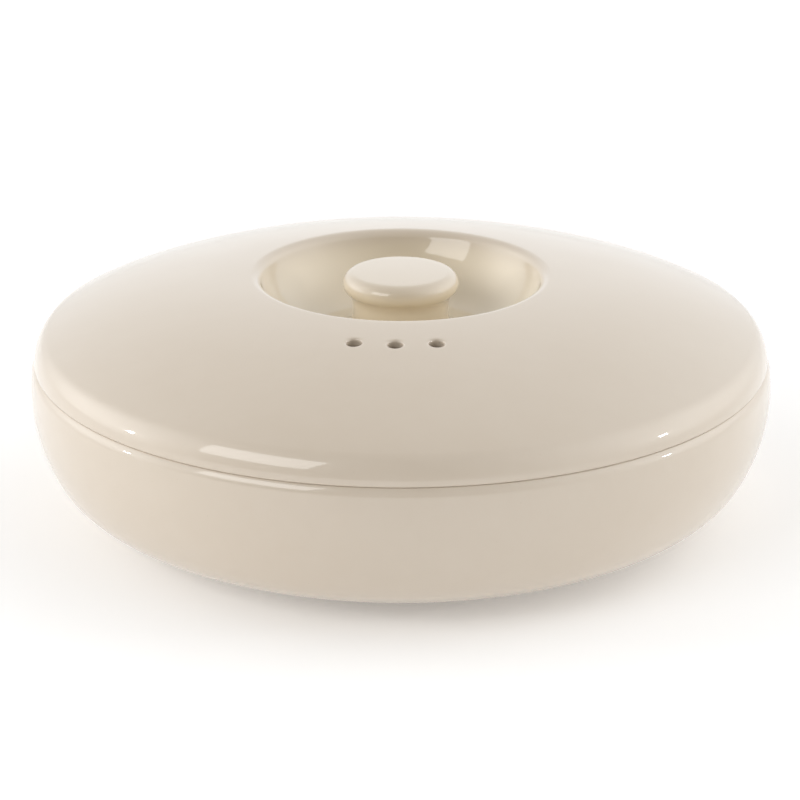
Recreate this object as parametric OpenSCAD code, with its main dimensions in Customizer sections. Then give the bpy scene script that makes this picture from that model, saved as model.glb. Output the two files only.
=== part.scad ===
// Hot stone heater: a lidded, glazed stoneware vessel that warms basalt
// massage stones on a perforated tray above a little water.
// Frame: origin at the centre of the face it rests on, +Z up, the three
// steam vents of the lid towards -Y. Millimetres.

/* [Vessel] */
// Radius of the seam where the lid meets the bowl
rim_r = 140; // [120:1:160]
// Height of the seam above the surface the bowl stands on
seam_z = 61.5; // [56:0.5:68]
// Wall of the bowl
bowl_wall = 5.5; // [4:0.5:7]
// Wall of the lid
lid_wall = 5; // [4:0.5:6]
// Rounding of the bowl's rim and the lid's edge, where they meet
seam_round = 0.8; // [0.6:0.1:1]

/* [Foot] */
// Outer radius of the foot ring
foot_r = 88; // [80:1:92]
// Width of the foot ring's resting face
foot_w = 6; // [4:1:10]
// Height of the underside inside the foot ring
foot_recess = 3; // [2:0.25:3.5]

/* [Lid] */
// Radius of the glazed lip round the finger well
lip_round = 4.2; // [3:0.2:5]
// Steepest slope of the well's wall, in degrees
well_slope = 72; // [70:1:75]
// Height of the well's floor above the seam
well_floor = 7; // [6:0.5:10]
// Drop of the locating flange below the seam
flange_drop = 6; // [4:0.5:8]
// Gap between the flange and the bowl's mouth
flange_gap = 1.8; // [1:0.2:3]

/* [Vents] */
// Number of steam vents
vent_count = 3; // [1:1:5]
// Diameter of one vent's bore
vent_d = 5.4; // [4:0.1:5.6]
// Radius of the circle that the vents lie on
vent_circle_r = 75; // [68:1:84]
// Angle between two vents, in degrees
vent_pitch = 11.25; // [10:0.25:20]

/* [Knob] */
// Largest radius of the knob's head
knob_r = 22; // [20:0.5:24]
// Radius of the knob's neck
neck_r = 18.4; // [17:0.2:19]
// Length of the knob's neck, between its foot and the flare of its head
neck_length = 4.6; // [3:0.2:5]
// Wall of the hollow knob
knob_wall = 5.5; // [4:0.5:6]
// Radius of the bore that the knob is cast over
knob_bore_r = 9; // [6:0.5:9]

/* [Tray] */
// Radius of the tray's flat plate
tray_r = 100; // [96:1:102]
// Thickness of the tray's plate
tray_t = 4; // [3:0.5:5]
// Clear height under the plate, for water
water_h = 8; // [6:0.5:9]
// Diameter of one drain hole
drain_d = 7; // [5:0.5:8]

/* [Stones] */
// Number of large stones in the outer ring
large_count = 8; // [6:1:8]
// Number of medium stones in the inner ring
medium_count = 4; // [3:1:4]
// Number of small stones between the two rings
small_count = 4; // [2:2:4]

/* [Hidden] */
function names(stem, n) = [for (i = [1:n]) str(stem, i)];
$fn = 96;

GLAZE = "#dcd2bf";
BASALT = "#33353a";
SAG = 0.04;   // how far a chord may lie off its arc
FAR = 400;    // larger than the vessel
CHAMFER = 1;  // softened edges of the foot ring and the flange

// ---- outlines made of tangent arcs ----
// A chain is a list of [radius, turn in degrees]: a positive turn bends left.
// It starts at p with heading h.
function steps(arc) = max(2, ceil(abs(arc[1]) / (2 * acos(1 - SAG / arc[0]))));
function on_arc(p, h, arc, t) =
    let (s = arc[0] * sign(arc[1]), g = h + arc[1] * t)
    p + s * [sin(g) - sin(h), cos(h) - cos(g)];
function chain(p, h, arcs, i = 0) =
    i == len(arcs)
    ? [p]
    : let (arc = arcs[i], n = steps(arc))
      concat(
          [for (k = [0:n - 1]) on_arc(p, h, arc, k / n)],
          chain(on_arc(p, h, arc, 1), h + arc[1], arcs, i + 1)
      );
function last(points) = points[len(points) - 1];

// The right half of a section, which rotate_extrude turns
module right_half() {
    intersection() {
        children();
        translate([0, -FAR]) square([FAR, 2 * FAR]);
    }
}
module both_halves() {
    children();
    mirror([1, 0]) children();
}
// What is left inside a section when its wall is taken off
module hollow(wall) {
    right_half() offset(delta = -wall) both_halves() children();
}

// ---- bowl ----
// Rounded rim from the seam down, then a belly that leans out, turns in and
// flattens to the foot
rim_in = 0.1;   // the rim's contact ends this far inside the seam's radius
belly = chain(
    [rim_r - rim_in - seam_round, seam_z], 0,
    [
        [seam_round, -50],
        [0.043 * rim_r, -32],
        [0.416 * rim_r, -36],
        [0.186 * rim_r, -30],
        [0.42 * rim_r, -22],
        [rim_r, -5]
    ]
);
mouth_r = rim_r - bowl_wall - 0.5;
mouth_depth = flange_drop + 3;
bowl_floor = foot_recess + bowl_wall;

module bowl_body() {
    polygon(concat(
        [[0, seam_z]],
        belly,
        [[foot_r + CHAMFER, foot_recess], [0, foot_recess]]
    ));
}

// The same body with its foot ring, whose edges are softened
module bowl_outline() {
    foot_in = foot_r - foot_w;
    polygon(concat(
        [[0, seam_z]],
        belly,
        [
            [foot_r + CHAMFER, foot_recess],
            [foot_r + CHAMFER, CHAMFER],
            [foot_r, 0],
            [foot_in, 0],
            [foot_in - CHAMFER, CHAMFER],
            [foot_in - CHAMFER, foot_recess],
            [0, foot_recess]
        ]
    ));
}

module bowl() {
    color(GLAZE) rotate_extrude() difference() {
        bowl_outline();
        hollow(bowl_wall) bowl_body();
        translate([0, seam_z - mouth_depth]) square([mouth_r, mouth_depth + 1]);
    }
}

// ---- lid ----
// Dome from the seam up and in: shoulder, crown, lip, then the finger well
shoulder = [[0.1 * rim_r, 34], [0.055 * rim_r, 26]];
crown = [[0.9 * rim_r, 6], [1.81 * rim_r, 15]];
dome = chain(
    [rim_r - rim_in - seam_round, seam_z], 0,
    concat([[seam_round, 94]], shoulder, crown)
);
lip = chain(last(dome), 175, [[lip_round, well_slope + 5]]);
well_z = seam_z + well_floor;
well_round = (last(lip)[1] - well_z) / (1 - cos(well_slope));
well = chain(last(lip), 180 + well_slope, [[well_round, -well_slope]]);
well_r = last(well)[0];

function tail(points) = [for (i = [1:len(points) - 1]) points[i]];

// The lid as a solid whose underside lies at a given height
module lid_block(base) {
    polygon(concat(
        [[0, base], [dome[0][0], base]],
        dome,
        tail(lip),
        tail(well),
        [[0, well_z]]
    ));
}

module lid_section() {
    flange_r = mouth_r - flange_gap;
    land_r = flange_r - lid_wall;
    difference() {
        lid_block(seam_z);
        // the shell's inside stops at the land that rests on the bowl's rim
        intersection() {
            hollow(lid_wall) lid_block(0);
            square([land_r, FAR]);
        }
        square([knob_bore_r, FAR]);
    }
    // the flange runs a little up into the land
    translate([0, seam_z - flange_drop]) polygon([
        [land_r + CHAMFER, 0],
        [flange_r - CHAMFER, 0],
        [flange_r, CHAMFER],
        [flange_r, flange_drop + 1],
        [land_r, flange_drop + 1],
        [land_r, CHAMFER]
    ]);
}

// Height and slope of the dome where the vents pierce it
function dome_z(r, i = 0) =
    dome[i + 1][0] <= r
    ? dome[i + 1][1] + (dome[i][1] - dome[i + 1][1])
      * (r - dome[i + 1][0]) / (dome[i][0] - dome[i + 1][0])
    : dome_z(r, i + 1);

module vents() {
    z = dome_z(vent_circle_r);
    tilt = atan((dome_z(vent_circle_r - 2) - dome_z(vent_circle_r + 2)) / 4);
    for (i = [0:vent_count - 1]) {
        rotate([0, 0, (i - (vent_count - 1) / 2) * vent_pitch])
            translate([0, -vent_circle_r, z])
                rotate([tilt, 0, 0])
                    cylinder(d = vent_d, h = 6 * lid_wall, center = true);
    }
}

module lid() {
    color(GLAZE) difference() {
        rotate_extrude() lid_section();
        vents();
    }
}

// ---- knob: foot fillet, neck, and a round-edged head ----
neck_bow = 120;    // radius of the neck's own slight curve
neck_lean = neck_length / neck_bow * 180 / PI;
knob_flare = 49;   // degrees that the neck leans out under the head
knob_swell = (knob_r - neck_r) / (1 - cos(knob_flare));
knob_profile = chain(
    [well_r, well_z], 180,
    [
        [well_r - neck_r, -90],
        [neck_bow, -neck_lean],
        [0.6 * knob_swell, neck_lean - knob_flare],
        [0.4 * knob_swell, knob_flare],
        [0.21 * knob_r, 86]
    ]
);
knob_crown = 0.4;

module knob_outline() {
    polygon(concat(
        [[0, well_z]],
        knob_profile,
        [[0, last(knob_profile)[1] + knob_crown]]
    ));
}

module lid_knob() {
    color(GLAZE) rotate_extrude() difference() {
        knob_outline();
        hollow(knob_wall) knob_outline();
        translate([0, well_z - 1]) square([knob_bore_r, knob_wall + 2]);
    }
}

// ---- tray ----
tray_z = bowl_floor + water_h;   // underside of the plate
stone_z = tray_z + tray_t;       // what the stones rest on
tray_rim_h = 10;                 // from the plate's underside to the rim's top
tray_rim_out = 7;                // how far the rim flares past the plate
tray_foot_r = 62;
tray_foot_w = 4;
notch_w = 12;                    // notches that let water under the foot ring
notch_h = 3;
drain_rings = [[18, 6], [36, 10], [52, 14], [78, 20]];   // [radius, holes]

module tray_section() {
    translate([0, tray_z]) square([tray_r, tray_t]);
    // flared rim, gripped from outside to lift the tray
    translate([tray_r, tray_z]) polygon([
        [-tray_rim_out, 0],
        [0, 0],
        [tray_rim_out, tray_rim_h - CHAMFER],
        [tray_rim_out - CHAMFER, tray_rim_h],
        [tray_rim_out - tray_t, tray_rim_h],
        [-2, tray_t],
        [-tray_rim_out, tray_t]
    ]);
    translate([tray_foot_r, bowl_floor]) square([tray_foot_w, water_h + 1]);
}

module drain_ring(r, n) {
    for (i = [0:n - 1]) {
        rotate([0, 0, 360 * i / n])
            translate([r, 0, tray_z - 1])
                cylinder(d = drain_d, h = tray_t + 2);
    }
}

module stone_tray() {
    color(GLAZE) difference() {
        rotate_extrude() tray_section();
        for (ring = drain_rings) drain_ring(ring[0], ring[1]);
        for (a = [0:60:300]) {
            rotate([0, 0, a])
                translate([tray_foot_r - 2, -notch_w / 2, bowl_floor - 1])
                    cube([tray_foot_w + 4, notch_w, notch_h + 1]);
        }
    }
}

// ---- stones ----
// A pebble: an ellipsoid with a small flat where it rests
module pebble(length, width, height) {
    flat = 0.8;
    translate([0, 0, height / 2 - flat]) difference() {
        scale([length / 2, width / 2, height / 2]) sphere(1);
        translate([0, 0, -FAR / 2 - height / 2 + flat]) cube(FAR, center = true);
    }
}

// Length, width and height of each kind of stone
large_size = [54, 43, 25];
medium_size = [38, 32, 21];
small_size = [17, 15, 12];
large_ring_r = 75;
medium_ring_r = 28;
small_ring_r = 49;

// Each stone of a ring differs a little, by a fixed rule
module ring_stone(i, n, ring_r, size, start) {
    vary = sin(137.5 * i);
    rotate([0, 0, start + 360 * i / n])
        translate([ring_r + vary, 0, stone_z])
            rotate([0, 0, 90 + 8 * vary])
                pebble(size[0] + 2 * vary, size[1] - 1.5 * vary, size[2] + 1.5 * vary);
}

module stone_large(i) {
    color(BASALT) ring_stone(i, large_count, large_ring_r, large_size, 22.5);
}
module stone_medium(i) {
    color(BASALT) ring_stone(i, medium_count, medium_ring_r, medium_size, 45);
}
// The last small stone lies in the middle of the tray
module stone_small(i) {
    color(BASALT)
        if (i < small_count) {
            ring_stone(i, small_count, small_ring_r, small_size, 0);
        } else {
            ring_stone(0, 1, 0, small_size, 0);
        }
}

bowl();
lid();
lid_knob();
stone_tray();
for (i = [0:large_count - 1]) {
    stone_large(i);
}
for (i = [0:medium_count - 1]) {
    stone_medium(i);
}
for (i = [0:small_count]) {
    stone_small(i);
}
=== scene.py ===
import math

import bmesh
import bpy
import numpy as np
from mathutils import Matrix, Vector, noise

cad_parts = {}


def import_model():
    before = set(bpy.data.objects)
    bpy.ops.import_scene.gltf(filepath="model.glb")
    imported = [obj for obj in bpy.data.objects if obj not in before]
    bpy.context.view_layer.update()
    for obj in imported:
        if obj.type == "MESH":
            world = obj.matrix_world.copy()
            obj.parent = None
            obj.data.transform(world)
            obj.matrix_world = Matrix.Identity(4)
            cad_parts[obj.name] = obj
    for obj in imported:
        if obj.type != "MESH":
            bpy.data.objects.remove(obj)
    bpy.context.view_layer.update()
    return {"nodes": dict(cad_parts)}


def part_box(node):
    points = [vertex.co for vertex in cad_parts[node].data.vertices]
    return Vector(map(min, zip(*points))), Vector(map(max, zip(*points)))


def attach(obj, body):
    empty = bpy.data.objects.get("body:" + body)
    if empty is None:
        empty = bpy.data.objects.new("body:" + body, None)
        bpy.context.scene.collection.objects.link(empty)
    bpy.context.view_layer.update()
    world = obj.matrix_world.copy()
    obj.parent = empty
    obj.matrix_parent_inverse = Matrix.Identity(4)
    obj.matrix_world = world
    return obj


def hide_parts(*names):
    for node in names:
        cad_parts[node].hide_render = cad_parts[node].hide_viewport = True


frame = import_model()

# ---- Sizes, in metres. Heights come from the frame; the arcs are the vessel's own ----
MM = 0.001
ON_AXIS = 1e-7                          # a radius below this is a point on the axis
SAME = 1e-6                             # two places nearer than this are one
SEAM_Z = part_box("bowl")[1].z            # height of the seam between lid and bowl
RIM_R = 0.140                           # radius of the seam
BOWL_WALL = 5.5 * MM
LID_WALL = 5.0 * MM
SEAM_ROUND = 0.8 * MM
RIM_IN = 0.1 * MM
MOUTH_R = RIM_R - BOWL_WALL - 0.5 * MM
FOOT_R = 88 * MM
FOOT_W = 6 * MM
FOOT_RECESS = 3 * MM
BOWL_FLOOR = FOOT_RECESS + BOWL_WALL
FLANGE_DROP = 6 * MM
FLANGE_GAP = 1.8 * MM
LIP_ROUND = 4.2 * MM
WELL_SLOPE = 72
WELL_Z = SEAM_Z + 7 * MM
KNOB_R = 22 * MM
NECK_R = 18.4 * MM
NECK_LENGTH = 4.6 * MM
NECK_BOW = 120 * MM                     # radius of the neck's own slight curve
KNOB_FLARE = 49                         # degrees that the neck leans out under the head
KNOB_WALL = 5.5 * MM
KNOB_CROWN = 0.4 * MM                   # how far the knob's flat top rises to its middle
KNOB_BORE_R = 9 * MM
VENT_R = 2.7 * MM
VENT_CIRCLE_R = 75 * MM
LID_SEGMENTS = 384
VENT_CELLS = 12                         # segments between two vents: 11.25 degrees
WINDOW_HALF = 5                         # segments left open each side of a vent
WINDOW_STEP = 1.2 * MM                  # the same, along the dome's section
GLAZE_ROUND = 1.0 * MM                  # how far the glaze rounds a vent's edge
TRAY_ROUND = 0.7 * MM                   # the same, on the tray's edges
PAINTED_LIGHT_IN = 50 * MM                       # the painted light in the finger well fades out between these radii
PAINTED_LIGHT_OUT = 57 * MM
LENS = 113.67
FLOOR_GLOW = 0.19                       # lifts the floor's shadow to the photo's pale one


# ---- Outlines: tangent arcs, as (radius, turn in degrees); a positive turn bends left ----
class Chain:
    """A smooth outline of arcs in the (r, z) plane, measured along its length."""

    def __init__(self, start, heading, arcs):
        self.arcs = []
        p, h, s = np.array(start, float), math.radians(heading), 0.0
        for radius, turn in arcs:
            t = math.radians(turn)
            self.arcs.append((s, p, h, math.copysign(radius, t)))
            signed = self.arcs[-1][3]
            p = p + signed * np.array([math.sin(h + t) - math.sin(h), math.cos(h) - math.cos(h + t)])
            h, s = h + t, s + radius * abs(t)
        self.end, self.heading, self.length = p, math.degrees(h), s

    def at(self, s, left=0.0):
        """The point at length s, moved to the line's left."""
        start, p, h, radius = [a for a in self.arcs if a[0] <= s or a is self.arcs[0]][-1]
        g = h + (s - start) / radius
        p = p + radius * np.array([math.sin(g) - math.sin(h), math.cos(h) - math.cos(g)])
        return p + left * np.array([-math.sin(g), math.cos(g)])

    def stops(self, sag=0.004 * MM):
        """Lengths that cut the line into chords which lie within a sag of it."""
        ends = [a[0] for a in self.arcs[1:]] + [self.length]
        out = [0.0]
        for (start, _, _, radius), end in zip(self.arcs, ends):
            n = max(3, math.ceil((end - start) / math.sqrt(8 * sag * abs(radius))))
            out += [start + (end - start) * k / n for k in range(1, n + 1)]
        return out

    def find(self, r):
        """The length at which the line crosses radius r, on its last arc."""
        low, high = self.arcs[-1][0], self.length
        for _ in range(40):
            mid = (low + high) / 2
            low, high = (mid, high) if (self.at(mid)[0] > r) == (self.at(low)[0] > r) else (low, mid)
        return low


def rounded(corners, radius, steps=5):
    """A polyline whose inner corners are rounded. Ends stay as they are."""
    out = [np.array(corners[0], float)]
    for before, here, after in zip(corners, corners[1:], corners[2:]):
        here = np.array(here, float)
        a = np.array(before, float) - here
        b = np.array(after, float) - here
        reach = min(radius, 0.45 * np.linalg.norm(a), 0.45 * np.linalg.norm(b))
        a *= reach / np.linalg.norm(a)
        b *= reach / np.linalg.norm(b)
        for i in range(steps + 1):
            t = i / steps
            out.append(here + a * (1 - t) ** 2 + b * t ** 2)
    out.append(np.array(corners[-1], float))
    return np.array(out)


def spread(a, b, step):
    """Evenly spaced points from a to b, without the ends."""
    a = np.array(a, float)
    b = np.array(b, float)
    n = max(1, round(np.linalg.norm(b - a) / step))
    return np.array([a + (b - a) * i / n for i in range(1, n)]).reshape(-1, 2)


# ---- Lathe ----
def lathe(outline, segments, closed=False, skip=None):
    """Turns an outline of (r, z) points about the axis. skip(i, j) leaves a cell open."""
    bm = bmesh.new()
    rings = []
    for r, z in outline:
        if r < ON_AXIS:
            v = bm.verts.new((0, 0, z))
            rings.append([v] * segments)
            continue
        rings.append([
            bm.verts.new((r * math.sin(a), -r * math.cos(a), z))
            for a in (2 * math.pi * j / segments for j in range(segments))
        ])
    count = len(rings)
    for i in range(count if closed else count - 1):
        lower, upper = rings[i], rings[(i + 1) % count]
        for j in range(segments):
            if skip and skip(i, j):
                continue
            k = (j + 1) % segments
            corners = []
            for v in (lower[j], lower[k], upper[k], upper[j]):
                if v not in corners:
                    corners.append(v)
            bm.faces.new(corners)
    return bm, rings


def piece(name, bm, body, nodes, slot, *materials):
    """Makes the mesh an object that stands for CAD nodes and rides on their body."""
    bmesh.ops.recalc_face_normals(bm, faces=bm.faces)
    mesh = bpy.data.meshes.new(name)
    bm.to_mesh(mesh)
    bm.free()
    for p in mesh.polygons:
        p.use_smooth = True
    for m in materials:
        mesh.materials.append(m)
    obj = bpy.data.objects.new(name, mesh)
    bpy.context.scene.collection.objects.link(obj)
    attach(obj, body)
    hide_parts(*nodes)
    return obj


# ---- Materials ----
class Graph:
    """A short way to write a node material."""

    def __init__(self, name):
        self.material = bpy.data.materials.new(name)
        self.material.use_nodes = True
        self.nodes = self.material.node_tree.nodes
        self.links = self.material.node_tree.links
        self.shader = self.nodes["Principled BSDF"]
        self.coords = self.nodes.new("ShaderNodeTexCoord").outputs["Object"]

    def set(self, **values):
        for key, value in values.items():
            self.shader.inputs[key.replace("_", " ")].default_value = value

    def node(self, kind, inputs=None, **settings):
        n = self.nodes.new(kind)
        for key, value in settings.items():
            setattr(n, key, value)
        for key, value in (inputs or {}).items():
            if isinstance(value, bpy.types.NodeSocket):
                self.links.new(value, n.inputs[key])
            else:
                n.inputs[key].default_value = value
        return n

    def noise(self, scale, detail=3.0, roughness=0.5, distortion=0.0):
        return self.node("ShaderNodeTexNoise", {
            "Vector": self.coords, "Scale": scale, "Detail": detail,
            "Roughness": roughness, "Distortion": distortion,
        }).outputs["Fac"]

    def cells(self, scale):
        return self.node("ShaderNodeTexVoronoi", {
            "Vector": self.coords, "Scale": scale, "Randomness": 1.0,
        }, feature="F1").outputs["Distance"]

    def math(self, operation, a, b):
        return self.node("ShaderNodeMath", {0: a, 1: b}, operation=operation).outputs[0]

    def remap(self, value, low, high, to_low=0.0, to_high=1.0, smooth=False):
        return self.node("ShaderNodeMapRange", {
            "Value": value, "From Min": low, "From Max": high, "To Min": to_low, "To Max": to_high,
        }, interpolation_type="SMOOTHSTEP" if smooth else "LINEAR").outputs["Result"]

    def mix(self, factor, a, b):
        n = self.node("ShaderNodeMix", data_type="RGBA")
        for socket, value in ((n.inputs[0], factor), (n.inputs[6], a), (n.inputs[7], b)):
            if isinstance(value, bpy.types.NodeSocket):
                self.links.new(value, socket)
            else:
                socket.default_value = value
        return n.outputs[2]

    def bump(self, height, distance, strength=1.0):
        normal = self.node("ShaderNodeBump", {
            "Height": height, "Distance": distance, "Strength": strength,
        }).outputs["Normal"]
        self.link("Normal", normal)
        return normal

    def link(self, name, value):
        self.links.new(value, self.shader.inputs[name])


def rgb(r, g, b):
    """An sRGB colour of 0 to 255, as the shader wants it."""
    def linear(c):
        c /= 255
        return c / 12.92 if c <= 0.04045 else ((c + 0.055) / 1.055) ** 2.4
    return (linear(r), linear(g), linear(b), 1.0)


def glaze_material(name, thick, thin, painted_well_light):
    """Opaque cream glaze: a glassy coat over a satin body, faintly cloudy and rippled.
    In the lid's finger well and on the knob it is painted lighter and creamier: painted light, standing in
    for the light that brightens the well."""
    g = Graph(name)
    cloud = g.remap(g.noise(7, 3), 0.2, 0.8)
    fine = g.remap(g.noise(90, 4, 0.6), 0.2, 0.8)
    tone = g.math("ADD", g.math("MULTIPLY", cloud, 0.7), g.math("MULTIPLY", fine, 0.3))
    colour = g.mix(tone, thick, thin)
    flat = g.node("ShaderNodeVectorMath", {0: g.coords, 1: (1, 1, 0)}, operation="MULTIPLY").outputs[0]
    radius = g.node("ShaderNodeVectorMath", {0: flat}, operation="LENGTH").outputs["Value"]
    height = g.node("ShaderNodeSeparateXYZ", {0: g.coords}).outputs["Z"]
    # painted light: the finger well and the knob are painted lighter and creamier, fading out towards the
    # lip and above it
    well_light_mask = g.math("MULTIPLY", g.remap(radius, PAINTED_LIGHT_IN, PAINTED_LIGHT_OUT, 1.0, 0.0, smooth=True),
                 g.remap(height, SEAM_Z + 24 * MM, SEAM_Z + 31 * MM, 1.0, 0.3, smooth=True))
    well_light_mask = g.math("MULTIPLY", well_light_mask, g.remap(height, SEAM_Z + 1 * MM, SEAM_Z + 4 * MM, smooth=True))
    colour = g.mix(well_light_mask, colour, painted_well_light)
    # pin-head iron specks, faint under the glaze
    speck = g.remap(g.cells(700), 0.05, 0.16, 1.0, 0.0, smooth=True)
    rare = g.remap(g.noise(330, 1), 0.66, 0.72)
    colour = g.mix(g.math("MULTIPLY", g.math("MULTIPLY", speck, rare), 0.3), colour, rgb(150, 126, 98))
    g.link("Base Color", colour)
    g.link("Roughness", g.remap(g.noise(45, 3), 0.2, 0.8, 0.30, 0.38))
    g.set(Coat_Weight=1.0, Coat_Roughness=0.04, Coat_IOR=1.5, IOR=1.3)
    ripple = g.math("ADD", g.noise(24, 1), g.math("MULTIPLY", g.noise(260, 2), 0.03))
    g.link("Coat Normal", g.bump(ripple, 0.0004, 0.25))
    return g.material


def clay_material():
    """Bare fired stoneware where the glaze was wiped off."""
    g = Graph("bare_clay")
    grain = g.noise(1400, 5, 0.65)
    colour = g.mix(g.remap(grain, 0.3, 0.7), rgb(176, 150, 118), rgb(214, 192, 160))
    iron = g.remap(g.cells(700), 0.05, 0.16, 1.0, 0.0, smooth=True)
    colour = g.mix(g.math("MULTIPLY", iron, g.remap(g.noise(300, 1), 0.55, 0.65)), colour, rgb(98, 66, 42))
    g.link("Base Color", colour)
    g.link("Roughness", g.remap(grain, 0.3, 0.7, 0.75, 0.92))
    g.bump(grain, 0.0002, 0.7)
    return g.material


def basalt_material():
    """Tumbled basalt, lightly oiled: mottled dark grey with shallow pores."""
    g = Graph("basalt")
    mottle = g.remap(g.noise(55, 5, 0.65, 0.4), 0.3, 0.7)
    colour = g.mix(mottle, rgb(38, 39, 43), rgb(74, 76, 80))
    crystal = g.remap(g.noise(900, 2, 0.7), 0.6, 0.72)
    colour = g.mix(g.math("MULTIPLY", crystal, 0.5), colour, rgb(112, 114, 116))
    pores = g.remap(g.cells(520), 0.0, 0.22, smooth=True)
    where = g.remap(g.noise(130, 2), 0.48, 0.6)
    pore_dip_and_shade = g.math("SUBTRACT", 1.0, g.math("MULTIPLY", g.math("SUBTRACT", 1.0, pores), where))
    # painted shade: the pores are painted near-black for the shade inside them; their dip in the bump is
    # real
    colour = g.mix(pore_dip_and_shade, rgb(24, 24, 27), colour)
    g.link("Base Color", colour)
    g.link("Roughness", g.remap(g.noise(30, 4), 0.3, 0.7, 0.34, 0.52))
    tooth = g.math("MULTIPLY", g.noise(700, 4, 0.6), 0.35)
    g.bump(g.math("ADD", g.math("MULTIPLY", pore_dip_and_shade, 0.8), tooth), 0.00035, 0.6)
    return g.material


# the last colour of each glaze is painted light for the lid's finger well and knob
GLAZE = glaze_material("cream_glaze", rgb(202, 188, 170), rgb(208, 196, 180), rgb(219, 206, 182))
TRAY_GLAZE = glaze_material("tray_glaze", rgb(200, 186, 165), rgb(212, 199, 180), rgb(214, 201, 180))
CLAY = clay_material()
BASALT = basalt_material()


# ---- Bowl ----
def make_bowl():
    belly = Chain((RIM_R - RIM_IN - SEAM_ROUND, SEAM_Z), 0, [
        (SEAM_ROUND, -50), (0.043 * RIM_R, -32), (0.416 * RIM_R, -36),
        (0.186 * RIM_R, -30), (0.42 * RIM_R, -22), (RIM_R, -5),
    ])
    outer = np.array([belly.at(s) for s in belly.stops()])
    inner = np.array([belly.at(s, -BOWL_WALL) for s in belly.stops()])
    inner = inner[(inner[:, 1] < SEAM_Z - FLANGE_DROP - 5 * MM) & (inner[:, 1] > BOWL_FLOOR + 0.35 * MM)]
    foot_in = FOOT_R - FOOT_W
    foot = rounded([
        outer[-1], (FOOT_R + 1 * MM, FOOT_RECESS), (FOOT_R + 0.4 * MM, 0), (foot_in - 0.4 * MM, 0),
        (foot_in - 1.6 * MM, FOOT_RECESS), (foot_in - 8 * MM, FOOT_RECESS),
    ], 1.0 * MM)
    rim = rounded([
        outer[0], (MOUTH_R, SEAM_Z), (MOUTH_R, SEAM_Z - FLANGE_DROP - 2 * MM), inner[0],
    ], 1.6 * MM, 8)
    floor_edge = np.array([inner[-1][0] - 6 * MM, BOWL_FLOOR])
    outline = np.concatenate([
        [(0, FOOT_RECESS)], spread((0, FOOT_RECESS), foot[-1], 6 * MM), foot[::-1],
        outer[::-1][1:], rim[1:], inner[1:],
        [floor_edge], spread(floor_edge, (0, BOWL_FLOOR), 6 * MM), [(0, BOWL_FLOOR)],
    ])
    bm, _ = lathe(outline, 256)
    for f in bm.faces:
        f.material_index = f.calc_center_median().z < 1.5 * MM
    return piece("glazed_bowl", bm, "bowl", ["bowl"], "cream_glaze", GLAZE, CLAY)


# ---- Lid ----
def lid_chains():
    """The lid's outside: the dome, the lip and the finger well."""
    dome = Chain((RIM_R - RIM_IN - SEAM_ROUND, SEAM_Z), 0, [
        (SEAM_ROUND, 94), (0.1 * RIM_R, 34), (0.055 * RIM_R, 26), (0.9 * RIM_R, 6), (1.81 * RIM_R, 15),
    ])
    lip = Chain(dome.end, dome.heading, [(LIP_ROUND, WELL_SLOPE + 5)])
    well_round = (lip.end[1] - WELL_Z) / (1 - math.cos(math.radians(WELL_SLOPE)))
    well = Chain(lip.end, lip.heading, [(well_round, -WELL_SLOPE)])
    return dome, lip, well


def bore_vent(bm, dome, middle, angle, top_loop, under_loop):
    """Joins the window left in the lid's top to the one left under it, round a bore."""
    def surface(x, v, left):
        r, z = dome.at(middle + v, left)
        a = angle + x / r
        return Vector((r * math.sin(a), -r * math.cos(a), z))

    centre = surface(0, 0, 0)
    axis = (centre - surface(0, 0, LID_WALL)).normalized()
    rings = [[v for _, _, v in top_loop]]
    turns = [math.atan2(row, column) for row, column, _ in top_loop]
    side = math.tau * VENT_CIRCLE_R / LID_SEGMENTS

    def ring(radius, left, sink, blend=0.0):
        out = []
        for (row, column, _), turn in zip(top_loop, turns):
            x = (1 - blend) * radius * math.cos(turn) + blend * column * side
            v = (1 - blend) * radius * math.sin(turn) + blend * row * WINDOW_STEP
            out.append(bm.verts.new(surface(x, v, left) - axis * sink))
        rings.append(out)

    lip_r = VENT_R + GLAZE_ROUND
    for k in (3, 2, 1):
        ring(lip_r, 0, 0, k / 4)
    for k in range(7):
        t = math.radians(15 * k)
        ring(VENT_R + GLAZE_ROUND * (1 - math.sin(t)), 0, GLAZE_ROUND * (1 - math.cos(t)))
    for k in range(7):
        t = math.radians(90 - 15 * k)
        ring(VENT_R + GLAZE_ROUND * (1 - math.sin(t)), LID_WALL, -GLAZE_ROUND * (1 - math.cos(t)))
    for k in (1, 2, 3):
        ring(lip_r, LID_WALL, 0, k / 4)
    rings.append([v for _, _, v in under_loop])
    for upper, lower in zip(rings, rings[1:]):
        for k in range(len(upper)):
            n = (k + 1) % len(upper)
            bm.faces.new((upper[k], upper[n], lower[n], lower[k]))


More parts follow.
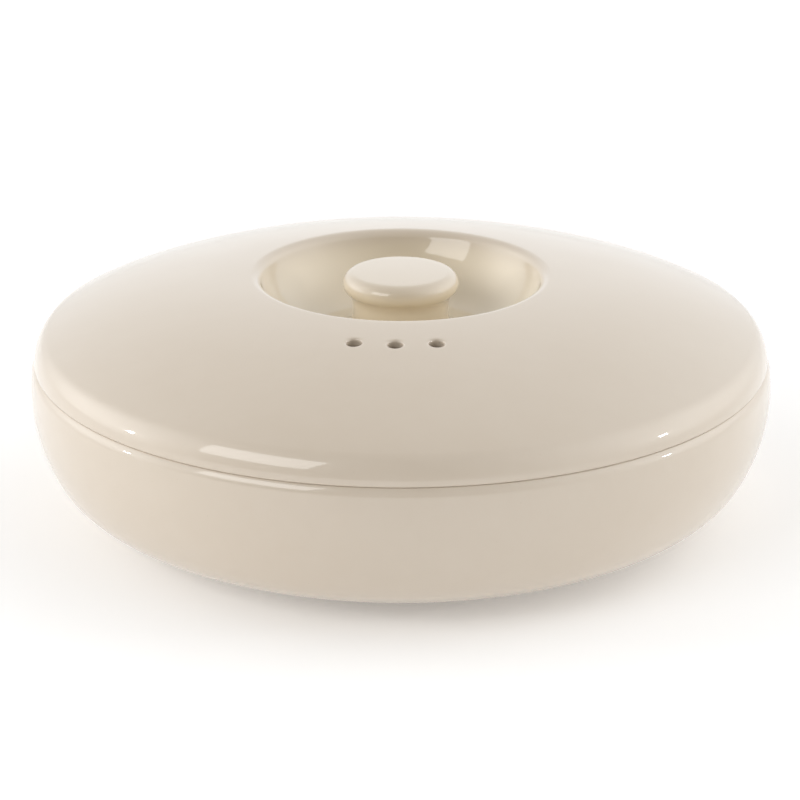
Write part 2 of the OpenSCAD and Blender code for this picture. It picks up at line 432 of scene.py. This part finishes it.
def make_lid():
    dome, lip, well = lid_chains()
    middle = dome.find(VENT_CIRCLE_R)
    half = WINDOW_STEP * WINDOW_HALF
    stops = [s for s in dome.stops() if abs(s - middle) > half + 0.5 * MM]
    stops = sorted(stops + [middle + k * WINDOW_STEP for k in range(-WINDOW_HALF, WINDOW_HALF + 1)])
    flange_r = MOUTH_R - FLANGE_GAP
    land_r = flange_r - LID_WALL
    top = np.array([dome.at(s) for s in stops])
    under = [dome.at(s, LID_WALL) for s in stops]
    under = np.array([p for p in under if 60 * MM < p[0] < land_r - 2 * MM])
    under_well = np.array([well.at(s, LID_WALL) for s in well.stops()])
    under_well = under_well[under_well[:, 0] < 50 * MM]
    bend = rounded([under[-1], (54.5 * MM, under[-1][1] + 0.7 * MM), under_well[0]], 9 * MM, 8)
    flange = rounded([
        top[0], (flange_r, SEAM_Z), (flange_r, SEAM_Z - FLANGE_DROP),
        (land_r, SEAM_Z - FLANGE_DROP), (land_r, under[0][1] - 1.5 * MM), under[0],
    ], 1.2 * MM)
    bore_top = np.array([KNOB_BORE_R, WELL_Z])
    bore_low = np.array([KNOB_BORE_R, WELL_Z - LID_WALL])
    over = np.concatenate([
        [bore_top], spread(bore_top, well.end, 3 * MM),
        [well.at(s) for s in well.stops()][::-1], [lip.at(s) for s in lip.stops()][::-1][1:-1],
        top[::-1],
    ])
    outline = np.concatenate([
        over, flange[1:-1], under, bend[1:-1], under_well,
        spread(under_well[-1], bore_low, 3 * MM), [bore_low],
    ])
    top_row = np.abs(outline - dome.at(middle)).sum(1).argmin()
    under_row = np.abs(outline - dome.at(middle, LID_WALL)).sum(1).argmin()
    centres = [VENT_CELLS * (k - 1) for k in range(3)]

    def in_window(i, j):
        near = any(-WINDOW_HALF <= (j - c + 180) % LID_SEGMENTS - 180 < WINDOW_HALF for c in centres)
        return near and any(row - WINDOW_HALF <= i < row + WINDOW_HALF for row in (top_row, under_row))

    bm, rings = lathe(outline, LID_SEGMENTS, closed=True, skip=in_window)
    n = WINDOW_HALF
    square = [(n, k) for k in range(n, -n, -1)] + [(k, -n) for k in range(n, -n, -1)]
    square += [(-n, k) for k in range(-n, n)] + [(k, n) for k in range(-n, n)]
    for c in centres:
        # outline rows run inwards to outwards on top, and back again underneath
        top_loop = [(row, k, rings[top_row - row][(c + k) % LID_SEGMENTS]) for row, k in square]
        low_loop = [(row, k, rings[under_row + row][(c + k) % LID_SEGMENTS]) for row, k in square]
        bore_vent(bm, dome, middle, math.tau * c / LID_SEGMENTS, top_loop, low_loop)
    bmesh.ops.delete(bm, geom=[v for v in bm.verts if not v.link_faces], context="VERTS")
    for f in bm.faces:
        c = f.calc_center_median()
        bare = c.z < SEAM_Z - FLANGE_DROP + 0.6 * MM or abs(c.z - SEAM_Z) < SAME
        f.material_index = bare
    return piece("glazed_lid", bm, "lid", ["lid"], "cream_glaze", GLAZE, CLAY)


def make_knob():
    foot = lid_chains()[2].end
    lean = math.degrees(NECK_LENGTH / NECK_BOW)
    swell = (KNOB_R - NECK_R) / (1 - math.cos(math.radians(KNOB_FLARE)))
    chain = Chain(foot, 180, [
        (foot[0] - NECK_R, -90), (NECK_BOW, -lean), (0.6 * swell, lean - KNOB_FLARE),
        (0.4 * swell, KNOB_FLARE), (0.21 * KNOB_R, 86),
    ])
    side = np.array([chain.at(s) for s in chain.stops(0.002 * MM)])
    edge_r, edge_z = side[-1]
    crown = np.array([
        (edge_r * (1 - t), edge_z + KNOB_CROWN * (1 - (1 - t) ** 2))
        for t in (k / 12 for k in range(1, 13))
    ])
    ceiling = crown[-1][1] - KNOB_WALL
    inside_r = NECK_R - KNOB_WALL
    inside = rounded([
        (0, ceiling), (KNOB_R - KNOB_WALL - 1 * MM, ceiling - 0.4 * MM), (inside_r, WELL_Z + 9 * MM),
        (inside_r, WELL_Z + KNOB_WALL), (KNOB_BORE_R, WELL_Z + KNOB_WALL), (KNOB_BORE_R, WELL_Z),
    ], 3 * MM)
    bm, _ = lathe(np.concatenate([crown[::-1], side[::-1], inside[::-1]]), 192)
    return piece("glazed_knob", bm, "lid", ["lid_knob"], "cream_glaze", GLAZE)


# ---- Tray ----
def make_tray():
    """The CAD tray with its edges rounded as glaze rounds them."""
    bm = bmesh.new()
    bm.from_mesh(frame["nodes"]["stone_tray"].data)
    bmesh.ops.remove_doubles(bm, verts=bm.verts, dist=SAME)
    bmesh.ops.dissolve_limit(bm, angle_limit=math.radians(1), verts=bm.verts, edges=bm.edges)
    sharp = [e for e in bm.edges if len(e.link_faces) == 2 and e.calc_face_angle() > math.radians(30)]
    bmesh.ops.bevel(
        bm, geom=sharp, offset=TRAY_ROUND, segments=3, profile=0.5, affect="EDGES", clamp_overlap=True,
    )
    return piece("glazed_tray", bm, "tray", ["stone_tray"], "tray_glaze", TRAY_GLAZE)


# ---- Stones ----
def make_stone(node, seed):
    """A tumbled pebble inside its CAD stone: the ellipsoid with low bumps and worn flats."""
    co = np.array([v.co for v in frame["nodes"][node].data.vertices])
    low, high = co.min(0), co.max(0)
    centre = (low + high) / 2
    spread_xy = np.cov((co[:, :2] - centre[:2]).T)
    values, vectors = np.linalg.eigh(spread_xy)
    axes = [vectors[:, 1], vectors[:, 0]]
    half = [np.abs((co[:, :2] - centre[:2]) @ a).max() for a in axes]
    bm = bmesh.new()
    bmesh.ops.create_icosphere(bm, subdivisions=5 if half[0] > 12 * MM else 4, radius=1)
    shift = Vector((seed * 7.31, seed * 3.17, seed * 5.77))
    for v in bm.verts:
        p = v.co.copy()
        worn = 0.10 * (0.5 + 0.5 * noise.noise(p * 1.1 + shift))
        worn += 0.028 * (0.5 + 0.5 * noise.noise(p * 2.6 + shift))
        worn += 0.006 * (0.5 + 0.5 * noise.noise(p * 7 + shift))
        p *= 1 - worn
        p.z = math.copysign(abs(p.z) ** 0.86, p.z)
        xy = centre[:2] + axes[0] * half[0] * p.x + axes[1] * half[1] * p.y
        v.co = (xy[0], xy[1], p.z)
    zs = [v.co.z for v in bm.verts]
    for v in bm.verts:
        t = (v.co.z - min(zs)) / (max(zs) - min(zs))
        v.co.z = low[2] + t * (high[2] - low[2])
    return piece("basalt_" + node.removeprefix("stone_"), bm, "tray", [node], "basalt", BASALT)


make_bowl()
make_lid()
make_knob()
stones = sorted(n for n in frame["nodes"] if n.startswith("stone_") and n != "stone_tray")
for number, node in enumerate(stones):
    make_stone(node, number + 1)
make_tray()


# ---- Stage, light and camera ----
def floor():
    bpy.ops.mesh.primitive_plane_add(size=12, location=(0, 0, 0))
    obj = bpy.context.object
    obj.name = "floor"
    g = Graph("floor_white")
    g.link("Base Color", g.mix(g.remap(g.noise(3), 0.3, 0.7), (0.9, 0.9, 0.9, 1), (0.92, 0.92, 0.92, 1)))
    g.set(Roughness=0.9, IOR=1.3, Emission_Color=(1, 1, 1, 1), Emission_Strength=FLOOR_GLOW)
    obj.data.materials.append(g.material)


def softbox(name, azimuth, elevation, distance, width, height, power):
    """A white rectangular light. Azimuth 0 is behind the vessel, 180 is the camera's side."""
    a, e = math.radians(azimuth), math.radians(elevation)
    place = Vector((math.sin(a) * math.cos(e), math.cos(a) * math.cos(e), math.sin(e))) * distance
    data = bpy.data.lights.new(name, "AREA")
    data.shape = "RECTANGLE"
    data.size = width
    data.size_y = height
    data.energy = power
    light = bpy.data.objects.new(name, data)
    light.location = place + Vector((0, 0, 0.06))
    light.rotation_euler = place.to_track_quat("Z", "Y").to_euler()
    bpy.context.scene.collection.objects.link(light)


def camera():
    azimuth, pitch = math.radians(1.5), math.radians(20.88)
    distance = 7 * RIM_R
    aim = Vector((-0.3 * MM, 0, SEAM_Z - 21.8 * MM))
    back = Vector((
        math.sin(azimuth) * math.cos(pitch), -math.cos(azimuth) * math.cos(pitch), math.sin(pitch),
    ))
    data = bpy.data.cameras.new("camera")
    data.sensor_width = 36
    data.lens = LENS
    obj = bpy.data.objects.new("camera", data)
    obj.location = aim + back * distance
    obj.rotation_euler = back.to_track_quat("Z", "Y").to_euler()
    bpy.context.scene.collection.objects.link(obj)
    bpy.context.scene.camera = obj


def world(lobes):
    """The room: soft lobes of light, each (azimuth, elevation, sharpness, strength)."""
    w = bpy.data.worlds.new("studio")
    w.use_nodes = True
    nodes, links = w.node_tree.nodes, w.node_tree.links
    direction = nodes.new("ShaderNodeTexCoord").outputs["Generated"]
    total = None
    for number, (azimuth, elevation, sharpness, strength) in enumerate(lobes):
        a, e = math.radians(azimuth), math.radians(elevation)
        facing = nodes.new("ShaderNodeVectorMath")
        facing.operation = "DOT_PRODUCT"
        links.new(direction, facing.inputs[0])
        facing.inputs[1].default_value = (math.sin(a) * math.cos(e), math.cos(a) * math.cos(e), math.sin(e))
        value = facing.outputs["Value"]
        for operation, amount in (("MAXIMUM", 0.0), ("POWER", sharpness), ("MULTIPLY", strength)):
            step = nodes.new("ShaderNodeMath")
            step.operation = operation
            links.new(value, step.inputs[0])
            step.inputs[1].default_value = amount
            value = step.outputs[0]
        step.name = f"lobe_{number}"
        if total:
            add = nodes.new("ShaderNodeMath")
            links.new(total, add.inputs[0])
            links.new(value, add.inputs[1])
            value = add.outputs[0]
        total = value
    links.new(total, nodes["Background"].inputs["Strength"])
    nodes["Background"].inputs["Color"].default_value = (1, 1, 1, 1)
    bpy.context.scene.world = w


floor()
camera()
# The lobes' strengths and the window's started from a fit to the photo's tones.
world([
    (0, 10, 2, 1.15),
    (-80, 17, 8, 2.3),
    (75, 24, 8, 0.6),
    (-90, 25, 3, 0.6),
    (90, 25, 3, 1.85),
    (0, 90, 4, 0.06),
])
softbox("lamp_left", -97, 11, 1.6, 0.08, 0.08, 1.7)
softbox("lamp_right", 97, 11, 1.6, 0.08, 0.08, 1.7)
softbox("window", -137, 30, 2.2, 1.3, 0.9, 14)
bpy.context.scene.view_settings.view_transform = "Standard"
